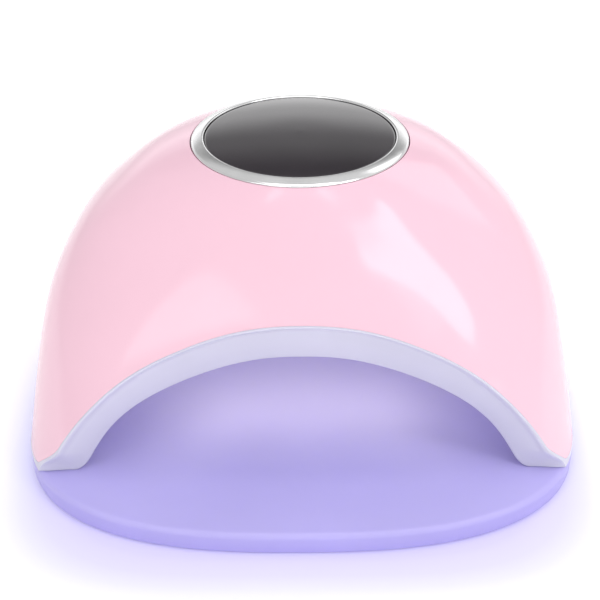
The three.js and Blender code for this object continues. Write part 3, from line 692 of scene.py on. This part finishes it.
# ---------------------------------------------------------------- power socket
socket = [(0, 84.6), (4.4, 84.6), (4.6, 84.8), (4.6, 88), (3.9, 88), (3.9, 98.9), (5.45, 98.9), (5.6, 99.05), (5.6, 99.6), (5.4, 99.8), (3.2, 99.8), (3.0, 99.6), (3.0, 90), (1.4, 90), (1.4, 88.2), (0, 88.2)]
v, f = lathe_solid(socket, 0, 0, 24, 72, axis="Y")
make("dc_jack_barrel", v, f, "hood", "black_plastic", ["dc_jack"], sharp=35)
pin = [(0, 88.5), (1.0, 88.5), (1.0, 97.6), (0.85, 98.1), (0.5, 98.5), (0, 98.6)]
v, f = lathe_solid(pin, 0, 0, 24, 36, axis="Y")
make("dc_jack_pin_tip", v, f, "hood", "pin_metal", ["dc_jack_pin"], sharp=35)


# ---------------------------------------------------------------- screws on show, with a cross recess
def screw(name, x, y, z0, head, head_h, shank, top, node, slot="screw_steel"):
    profile = [(0, z0 + 0.05), (head * 0.7, z0), (head * 0.94, z0 + 0.12), (head, z0 + 0.3), (head, z0 + head_h - 0.1), (head - 0.1, z0 + head_h)]
    profile += [(shank, z0 + head_h + 0.1)]
    z, i = z0 + head_h + 0.4, 0
    while z < top - 0.5:
        profile.append((shank - (0.22 if i % 2 else 0.0), z))
        z += 0.38
        i += 1
    profile += [(shank * 0.5, top - 0.2), (0, top)]
    v, f = lathe_solid(profile, x, y, 0, 28)
    depth = 0.6
    tools = [("DIFFERENCE", *merge([block(head * 1.15, head * 0.26, depth * 2, x, y, z0)])), ("DIFFERENCE", *block(head * 0.26, head * 1.15, depth * 2, x, y, z0))]
    place(name, carve((v, f), tools), "tray" if "cover" in node else "hood", slot, [node], sharp=30)


for i, (x, y) in enumerate(COVER_SCREWS, 1):
    screw(f"cover_screw_cross_{i}", x, y, 1.7, 2.65, 0.7, 1.05, 6.0, f"cover_screw_{i}")
for i, (x, y) in enumerate(BOSSES, 1):
    screw(f"rim_screw_cross_{i}", x, y, 9.5, 2.45, 1.1, 0.98, 20.9, f"rim_screw_{i}")

# ================================================================ materials
def linear(c):
    return tuple((v / 12.92 if v <= 0.04045 else ((v + 0.055) / 1.055) ** 2.4) for v in c)


class Mat:
    """A node material built up from a Principled shader, with object coordinates for every pattern."""

    def __init__(self, name, color, rough, metal=0.0, **sockets):
        self.m = bpy.data.materials.new(name)
        self.m.use_nodes = True
        self.t = self.m.node_tree
        self.n, self.l = self.t.nodes, self.t.links
        self.p = self.n["Principled BSDF"]
        self.p.inputs["Base Color"].default_value = (*color, 1)
        self.p.inputs["Roughness"].default_value = rough
        self.p.inputs["Metallic"].default_value = metal
        for k, v in sockets.items():
            self.p.inputs[k.replace("_", " ")].default_value = v
        self.color, self.rough = color, rough
        self.co = self.n.new("ShaderNodeTexCoord").outputs["Object"]

    def noise(self, scale, detail=3.0, rough=0.5, vector=None):
        n = self.n.new("ShaderNodeTexNoise")
        n.inputs["Scale"].default_value = scale
        n.inputs["Detail"].default_value = detail
        n.inputs["Roughness"].default_value = rough
        self.l.new(vector or self.co, n.inputs["Vector"])
        return n.outputs["Fac"]

    def stretch(self, x, y, z):
        n = self.n.new("ShaderNodeMapping")
        n.inputs["Scale"].default_value = (x, y, z)
        self.l.new(self.co, n.inputs["Vector"])
        return n.outputs["Vector"]

    def map(self, fac, lo, hi, a, b):
        n = self.n.new("ShaderNodeMapRange")
        n.inputs["From Min"].default_value, n.inputs["From Max"].default_value = lo, hi
        n.inputs["To Min"].default_value, n.inputs["To Max"].default_value = a, b
        self.l.new(fac, n.inputs["Value"])
        return n.outputs["Result"]

    def math(self, op, a, b):
        n = self.n.new("ShaderNodeMath")
        n.operation = op
        for i, v in enumerate((a, b)):
            if isinstance(v, (int, float)):
                n.inputs[i].default_value = v
            else:
                self.l.new(v, n.inputs[i])
        return n.outputs[0]

    def mix(self, fac, a, b):
        n = self.n.new("ShaderNodeMix")
        n.data_type = "RGBA"
        self.l.new(fac, n.inputs["Factor"])
        for i, c in ((6, a), (7, b)):
            if isinstance(c, tuple):
                n.inputs[i].default_value = (*c, 1)
            else:
                self.l.new(c, n.inputs[i])
        return n.outputs[2]

    def vary_color(self, fac, a, b):
        self.l.new(self.mix(fac, a, b), self.p.inputs["Base Color"])

    def vary_rough(self, fac, a, b, lo=0.3, hi=0.7):
        self.l.new(self.map(fac, lo, hi, a, b), self.p.inputs["Roughness"])

    def bump(self, height, strength, distance):
        n = self.n.new("ShaderNodeBump")
        n.inputs["Strength"].default_value = strength
        n.inputs["Distance"].default_value = distance
        self.l.new(height, n.inputs["Height"])
        self.l.new(n.outputs["Normal"], self.p.inputs["Normal"])


def tint(c, k):
    return tuple(min(1.0, v * k) for v in c)


PINK = (0.875, 0.562, 0.67)
pink = Mat("pink_gloss", PINK, 0.13, Coat_Weight=0.15, Coat_Roughness=0.05, IOR=1.5)
flow = pink.noise(14, 4, 0.55)
pink.vary_color(pink.map(flow, 0.35, 0.65, 0, 1), tint(PINK, 0.985), tint(PINK, 1.015))
pink.vary_rough(pink.noise(420, 3), 0.09, 0.13)
pink.bump(pink.noise(900, 2), 0.035, 0.0002)

# white plastic given a darker lavender colour: painted violet light and painted shade
WHITE_PAINTED_VIOLET_SHADE = (0.655, 0.642, 0.762)
white = Mat("white_satin", WHITE_PAINTED_VIOLET_SHADE, 0.32, IOR=1.33)
white.vary_color(white.map(white.noise(22, 4), 0.35, 0.65, 0, 1), tint(WHITE_PAINTED_VIOLET_SHADE, 0.975), tint(WHITE_PAINTED_VIOLET_SHADE, 1.02))
white.vary_rough(white.noise(260, 3), 0.30, 0.33)
white.bump(white.noise(2600, 2), 0.03, 0.0001)

# the tray's white plastic given a darker violet colour: painted violet light and painted shade
TRAY_PAINTED_VIOLET_SHADE = (0.48, 0.434, 0.835)
trayc = Mat("tray_painted_violet_shade", TRAY_PAINTED_VIOLET_SHADE, 0.34, IOR=1.48, Subsurface_Weight=0.12, Subsurface_Scale=0.006)
trayc.p.inputs["Subsurface Radius"].default_value = (0.6, 0.6, 1.0)
trayc.vary_color(trayc.map(trayc.noise(18, 4), 0.35, 0.65, 0, 1), tint(TRAY_PAINTED_VIOLET_SHADE, 0.98), tint(TRAY_PAINTED_VIOLET_SHADE, 1.02))
trayc.vary_rough(trayc.noise(500, 3), 0.29, 0.4)
trayc.bump(trayc.noise(2400, 2), 0.06, 0.0001)

coverm = Mat("cover_white", (0.78, 0.77, 0.82), 0.5)
coverm.vary_color(coverm.map(coverm.noise(30, 4), 0.35, 0.65, 0, 1), (0.74, 0.73, 0.79), (0.80, 0.79, 0.84))
coverm.vary_rough(coverm.noise(700, 3), 0.45, 0.6)
coverm.bump(coverm.noise(3800, 2), 0.35, 0.00015)

linerm = Mat("liner_white", (0.86, 0.86, 0.90), 0.22, IOR=1.5)
linerm.vary_color(linerm.map(linerm.noise(24, 4), 0.35, 0.65, 0, 1), (0.83, 0.83, 0.885), (0.88, 0.88, 0.92))
linerm.vary_rough(linerm.noise(500, 3), 0.18, 0.28)
linerm.bump(linerm.noise(1500, 2), 0.05, 0.0001)

chrome = Mat("chrome_bright", (0.86, 0.86, 0.875), 0.06, 1.0)
chrome.vary_rough(chrome.noise(300, 4, vector=chrome.stretch(1, 1, 6)), 0.13, 0.20)
chrome.vary_color(chrome.map(chrome.noise(60, 3), 0.35, 0.65, 0, 1), (0.86, 0.86, 0.865), (0.93, 0.93, 0.935))
chrome.bump(chrome.noise(1800, 2), 0.03, 0.0001)

lens = Mat("smoked_acrylic", (0.018, 0.012, 0.018), 0.05, IOR=1.5, Coat_Weight=1.0, Coat_Roughness=0.03)
lens.vary_color(lens.map(lens.noise(40, 4), 0.35, 0.65, 0, 1), (0.0155, 0.0105, 0.016), (0.021, 0.0145, 0.0215))
lens.vary_rough(lens.noise(240, 4), 0.035, 0.075)
lens.bump(lens.noise(160, 2), 0.02, 0.0001)

rubber = Mat("foot_rubber", (0.035, 0.035, 0.037), 0.75)
rubber.vary_color(rubber.map(rubber.noise(180, 5), 0.35, 0.65, 0, 1), (0.028, 0.028, 0.03), (0.05, 0.05, 0.052))
rubber.vary_rough(rubber.noise(900, 3), 0.66, 0.85)
rubber.bump(rubber.noise(2600, 3), 0.4, 0.0002)

black = Mat("black_moulded", (0.03, 0.03, 0.032), 0.42)
black.vary_color(black.map(black.noise(120, 4), 0.35, 0.65, 0, 1), (0.024, 0.024, 0.026), (0.04, 0.04, 0.042))
black.vary_rough(black.noise(900, 3), 0.34, 0.5)
black.bump(black.noise(3200, 2), 0.25, 0.00015)

steel = Mat("screw_steel", (0.56, 0.56, 0.58), 0.3, 1.0)
steel.vary_color(steel.map(steel.noise(500, 4), 0.3, 0.7, 0, 1), (0.46, 0.46, 0.48), (0.64, 0.64, 0.66))
steel.vary_rough(steel.noise(1500, 3), 0.2, 0.42)
steel.bump(steel.noise(4000, 2), 0.2, 0.0001)

nickel = Mat("nickel_plate", (0.70, 0.69, 0.67), 0.2, 1.0)
nickel.vary_color(nickel.map(nickel.noise(420, 4), 0.3, 0.7, 0, 1), (0.62, 0.61, 0.59), (0.76, 0.75, 0.73))
nickel.vary_rough(nickel.noise(900, 3), 0.14, 0.32)
nickel.bump(nickel.noise(3000, 2), 0.12, 0.0001)

board = Mat("board_white", (0.80, 0.80, 0.77), 0.45)
board.vary_color(board.map(board.noise(90, 5), 0.35, 0.65, 0, 1), (0.74, 0.74, 0.71), (0.84, 0.84, 0.81))
board.vary_rough(board.noise(800, 3), 0.38, 0.55)
board.bump(board.noise(2600, 2), 0.2, 0.0001)

green = Mat("board_green", (0.035, 0.18, 0.075), 0.4)
wave = green.n.new("ShaderNodeTexVoronoi")
wave.inputs["Scale"].default_value = 260
green.l.new(green.co, wave.inputs["Vector"])
green.vary_color(green.map(wave.outputs["Distance"], 0.1, 0.5, 0, 1), (0.028, 0.15, 0.06), (0.05, 0.23, 0.10))
green.vary_rough(green.noise(700, 3), 0.3, 0.5)
green.bump(wave.outputs["Distance"], 0.2, 0.0001)

cable = Mat("wire_pvc", (0.72, 0.72, 0.74), 0.45)
cable.vary_color(cable.map(cable.noise(160, 4), 0.35, 0.65, 0, 1), (0.66, 0.66, 0.68), (0.78, 0.78, 0.8))
cable.vary_rough(cable.noise(900, 3), 0.38, 0.55)
cable.bump(cable.noise(2400, 2), 0.25, 0.0001)

resin = Mat("sensor_resin", (0.03, 0.012, 0.04), 0.12, Coat_Weight=0.7, Coat_Roughness=0.05)
resin.vary_color(resin.map(resin.noise(300, 4), 0.35, 0.65, 0, 1), (0.022, 0.01, 0.03), (0.04, 0.018, 0.055))
resin.vary_rough(resin.noise(700, 3), 0.08, 0.18)

sleeve = Mat("capacitor_sleeve", (0.03, 0.05, 0.11), 0.35)
sleeve.vary_color(sleeve.map(sleeve.noise(120, 4), 0.35, 0.65, 0, 1), (0.024, 0.04, 0.09), (0.04, 0.065, 0.14))
sleeve.vary_rough(sleeve.noise(900, 3), 0.28, 0.44)

GLOW = (0.36, 0.20, 1.0)
lamp = Mat("lamp_clear", (0.62, 0.56, 0.95), 0.12, Coat_Weight=0.8, Coat_Roughness=0.04)
lamp.vary_color(lamp.map(lamp.noise(700, 3), 0.35, 0.65, 0, 1), (0.52, 0.45, 0.95), (0.72, 0.66, 1.0))
lamp.p.inputs["Emission Color"].default_value = (*GLOW, 1)
lamp.p.inputs["Emission Strength"].default_value = 0.7


def paint(obj, mat):
    obj.data.materials.clear()
    obj.data.materials.append(mat.m)


BY_SLOT = {
    "tray_plastic": trayc, "white_plastic": white, "foot_rubber": rubber, "magnet_nickel": nickel, "screw_steel": steel,
    "shell_plastic": pink, "liner_plastic": linerm, "led_board": board, "sensor_plastic": resin, "circuit_board": green,
    "smoked_lens": lens, "chrome_plate": chrome, "gasket_foam": rubber, "black_plastic": black, "capacitor_sleeve": sleeve,
    "pin_metal": nickel, "wire_jacket": cable,
}
slot_of = {s["node"]: s["material_slot"] for s in frame["record"]["subparts"]}
for name, node in frame["nodes"].items():
    paint(node, BY_SLOT[slot_of[name]])
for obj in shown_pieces():
    if "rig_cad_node" in obj:
        continue
    if obj.name.startswith("lamp_domes"):
        paint(obj, lamp)
    elif obj.name.startswith("base_cover"):
        paint(obj, coverm)
    else:
        paint(obj, BY_SLOT[obj["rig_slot"]])

# ================================================================ floor, light, camera
scene = bpy.context.scene
scene.view_settings.view_transform = "Standard"
scene.view_settings.look = "None"
scene.view_settings.exposure = 0.0
scene.view_settings.gamma = 1.0

fm = bpy.data.meshes.new("studio_floor")
S = 6.0
fm.from_pydata([(-S, -S, 0), (S, -S, 0), (S, S, 0), (-S, S, 0)], [], [(0, 1, 2, 3)])
floor = bpy.data.objects.new("studio_floor", fm)
scene.collection.objects.link(floor)
fmat = Mat("studio_floor", (0.86, 0.86, 0.87), 0.6)
fmat.p.inputs["Specular IOR Level"].default_value = 0.1
# painted violet light and painted contact shadow round the base, in the floor's colour and emission, fading out over a
# few centimetres
xyz = fmat.n.new("ShaderNodeSeparateXYZ")
fmat.l.new(fmat.co, xyz.inputs[0])
px = fmat.math("POWER", fmat.math("ABSOLUTE", fmat.math("DIVIDE", xyz.outputs["X"], 0.095), 0), 4.0)
py = fmat.math("POWER", fmat.math("ABSOLUTE", fmat.math("DIVIDE", fmat.math("ADD", xyz.outputs["Y"], 0.020), 0.082), 0), 4.0)
reach = fmat.math("POWER", fmat.math("ADD", px, py), 0.25)
painted_glow_shade_mask = fmat.map(reach, 1.0, 1.5, 0.0, 1.0)


def painted_glow_shade_ramp(stops):
    node = fmat.n.new("ShaderNodeValToRGB")
    node.color_ramp.interpolation = "LINEAR"
    while len(node.color_ramp.elements) < len(stops):
        node.color_ramp.elements.new(0.5)
    for e, (at, c) in zip(node.color_ramp.elements, stops):
        e.position, e.color = at, (*c, 1)
    fmat.l.new(painted_glow_shade_mask, node.inputs["Fac"])
    return node.outputs["Color"]


# floor colour and emission darker and more violet next to the base: painted shadow and painted violet light
painted_glow_shade_color = painted_glow_shade_ramp([(0.0, (0.57, 0.535, 0.77)), (0.06, (0.585, 0.55, 0.78)), (0.2, (0.61, 0.58, 0.79)), (0.35, (0.66, 0.65, 0.81)), (0.62, (0.80, 0.80, 0.84)), (1.0, (0.86, 0.86, 0.86))])
painted_glow_shade_emission = painted_glow_shade_ramp([(0.0, (0.18, 0.17, 0.25)), (0.06, (0.19, 0.18, 0.25)), (0.2, (0.19, 0.185, 0.24)), (0.35, (0.22, 0.215, 0.26)), (0.62, (0.30, 0.30, 0.31)), (1.0, (0.38, 0.38, 0.38))])
fmat.l.new(fmat.mix(fmat.map(fmat.noise(3, 2), 0.3, 0.7, 0.0, 0.03), painted_glow_shade_color, (0.83, 0.83, 0.84)), fmat.p.inputs["Base Color"])
fmat.l.new(painted_glow_shade_emission, fmat.p.inputs["Emission Color"])
fmat.p.inputs["Emission Strength"].default_value = 1.0
fm.materials.append(fmat.m)

world = bpy.data.worlds.new("studio")
scene.world = world
world.use_nodes = True
# an even, pale room; behind the lamp it is bright near the horizon and dim higher up
wt = world.node_tree
bg = wt.nodes["Background"]
bg.inputs["Color"].default_value = (1, 1, 1, 1)
direction = wt.nodes.new("ShaderNodeTexCoord").outputs["Generated"]
split = wt.nodes.new("ShaderNodeSeparateXYZ")
wt.links.new(direction, split.inputs[0])
ramp = wt.nodes.new("ShaderNodeValToRGB")
ramp.color_ramp.interpolation = "EASE"
stops = [(0.0, 0.9), (0.13, 1.2), (0.20, 1.6), (0.30, 1.15), (0.42, 0.44), (0.57, 0.13), (0.72, 0.35), (1.0, 0.9)]
while len(ramp.color_ramp.elements) < len(stops):
    ramp.color_ramp.elements.new(0.5)
for e, (at, v) in zip(ramp.color_ramp.elements, stops):
    e.position, e.color = at, (v / 3, v / 3, v / 3, 1)
wt.links.new(split.outputs["Z"], ramp.inputs["Fac"])
behind = wt.nodes.new("ShaderNodeMapRange")
behind.interpolation_type = "SMOOTHSTEP"
behind.inputs["From Min"].default_value, behind.inputs["From Max"].default_value = 0.62, 0.88
wt.links.new(split.outputs["Y"], behind.inputs["Value"])
level = wt.nodes.new("ShaderNodeMix")
level.data_type = "RGBA"
wt.links.new(behind.outputs["Result"], level.inputs["Factor"])
across = wt.nodes.new("ShaderNodeMapRange")
across.inputs["From Min"].default_value, across.inputs["From Max"].default_value = -1.0, 1.0
across.inputs["To Min"].default_value, across.inputs["To Max"].default_value = 0.66 / 3, 0.86 / 3
wt.links.new(split.outputs["X"], across.inputs["Value"])
wt.links.new(across.outputs["Result"], level.inputs[6])
wt.links.new(ramp.outputs["Color"], level.inputs[7])
wt.links.new(level.outputs[2], bg.inputs["Color"])
bg.inputs["Strength"].default_value = 2.62


def area(name, loc, target, size, power, color=(1, 1, 1), size_y=None, shape="RECTANGLE"):
    d = bpy.data.lights.new(name, "AREA")
    d.shape, d.size, d.size_y = shape, size, size_y or size
    d.energy, d.color = power, color
    o = bpy.data.objects.new(name, d)
    scene.collection.objects.link(o)
    o.location = loc
    o.rotation_mode = "QUATERNION"
    o.rotation_quaternion = (Vector(target) - Vector(loc)).to_track_quat("-Z", "Y")
    o.visible_camera = False
    return o


# violet light under the hood
area("hand_space_fill", (0, -0.022, 0.052), (0, 0.03, 0.0), 0.09, 0.034, (1.0, 0.99, 0.58), 0.06)
for side in (-1, 1):
    area(f"hand_space_fill_{1 if side < 0 else 2}", (side * 0.055, -0.03, 0.036), (side * 0.07, -0.02, 0.0), 0.05, 0.0026, (1.0, 0.99, 0.6), 0.06)


def softbox(name, azimuth, elevation, distance, width, height, radiance, color=(1, 1, 1)):
    """A soft light in the direction azimuth (from +Y towards +X) and elevation, turned to the lamp."""
    a, e = rad(azimuth), rad(elevation)
    mid = Vector((0, -0.03, 0.07))
    loc = mid + distance * Vector((math.sin(a) * math.cos(e), math.cos(a) * math.cos(e), math.sin(e)))
    return area(name, loc, mid, width, radiance * math.pi * width * height, color, height)


softbox("key_right", 129, 44, 1.6, 0.5, 0.5, 0.7)
softbox("rim_right", 48, 40, 1.6, 0.9, 0.6, 0.8)
softbox("top_soft", 180, 86, 1.4, 0.8, 0.8, 2.3)
softbox("strip_front", 180, 24, 2.0, 2.4, 0.34, 1.9)


def card(name, corners, radiance):
    """A white reflector card, seen only as a soft shape in the gloss of the shell."""
    mesh = bpy.data.meshes.new(name)
    mesh.from_pydata(corners, [], [tuple(range(len(corners)))])
    obj = bpy.data.objects.new(name, mesh)
    scene.collection.objects.link(obj)
    obj.visible_camera = False
    m = Mat(name, (0.8, 0.8, 0.8), 0.8)
    m.vary_color(m.noise(4, 2), (0.78, 0.78, 0.78), (0.82, 0.82, 0.82))
    m.p.inputs["Emission Color"].default_value = (1, 1, 1, 1)
    m.p.inputs["Emission Strength"].default_value = radiance
    mesh.materials.append(m.m)


card("card_right", [
    (0.609, 0.0, 1.219), (0.657, -0.159, 1.115), (0.668, -0.239, 1.071), (0.718, -0.274, 1.021), (0.877, -0.392, 0.86),
    (0.988, -0.508, 0.732), (0.989, -0.655, 0.664), (0.888, -0.681, 0.722), (0.754, -0.628, 0.836), (0.616, -0.596, 0.944),
    (0.464, -0.618, 1.037), (0.348, -0.634, 1.109), (0.355, -0.566, 1.135), (0.424, -0.505, 1.116), (0.492, -0.438, 1.1),
    (0.569, -0.288, 1.116),
], 3.2)
card("card_left", [
    (-0.551, -0.527, 1.042), (-0.409, -0.651, 1.036), (-0.283, -0.808, 0.991), (-0.19, -0.939, 0.946), (-0.249, -0.932, 0.912),
    (-0.509, -0.845, 0.808), (-0.808, -0.759, 0.677), (-1.034, -0.676, 0.591), (-0.878, -0.603, 0.758), (-0.784, -0.57, 0.849),
    (-0.668, -0.539, 0.953),
], 1.15)
card("card_low", [(0.991, -0.598, 0.437), (1.054, -0.544, 0.346), (1.007, -0.601, 0.39)], 3.4)

cam = bpy.data.cameras.new("camera")
cam.sensor_width, cam.lens = 36, 1091.83 * 36 / 600
cam.clip_start, cam.clip_end = 0.01, 50
camera = bpy.data.objects.new("camera", cam)
scene.collection.objects.link(camera)
camera.location = (-0.0004, -0.37873, 0.2996)
camera.rotation_mode = "XYZ"
ROLL = rad(-0.4)
camera.rotation_euler = (
    Matrix.Rotation(rad(90 - 33.96), 4, "X") @ Matrix.Rotation(ROLL, 4, "Z")
).to_euler("XYZ")
scene.camera = camera
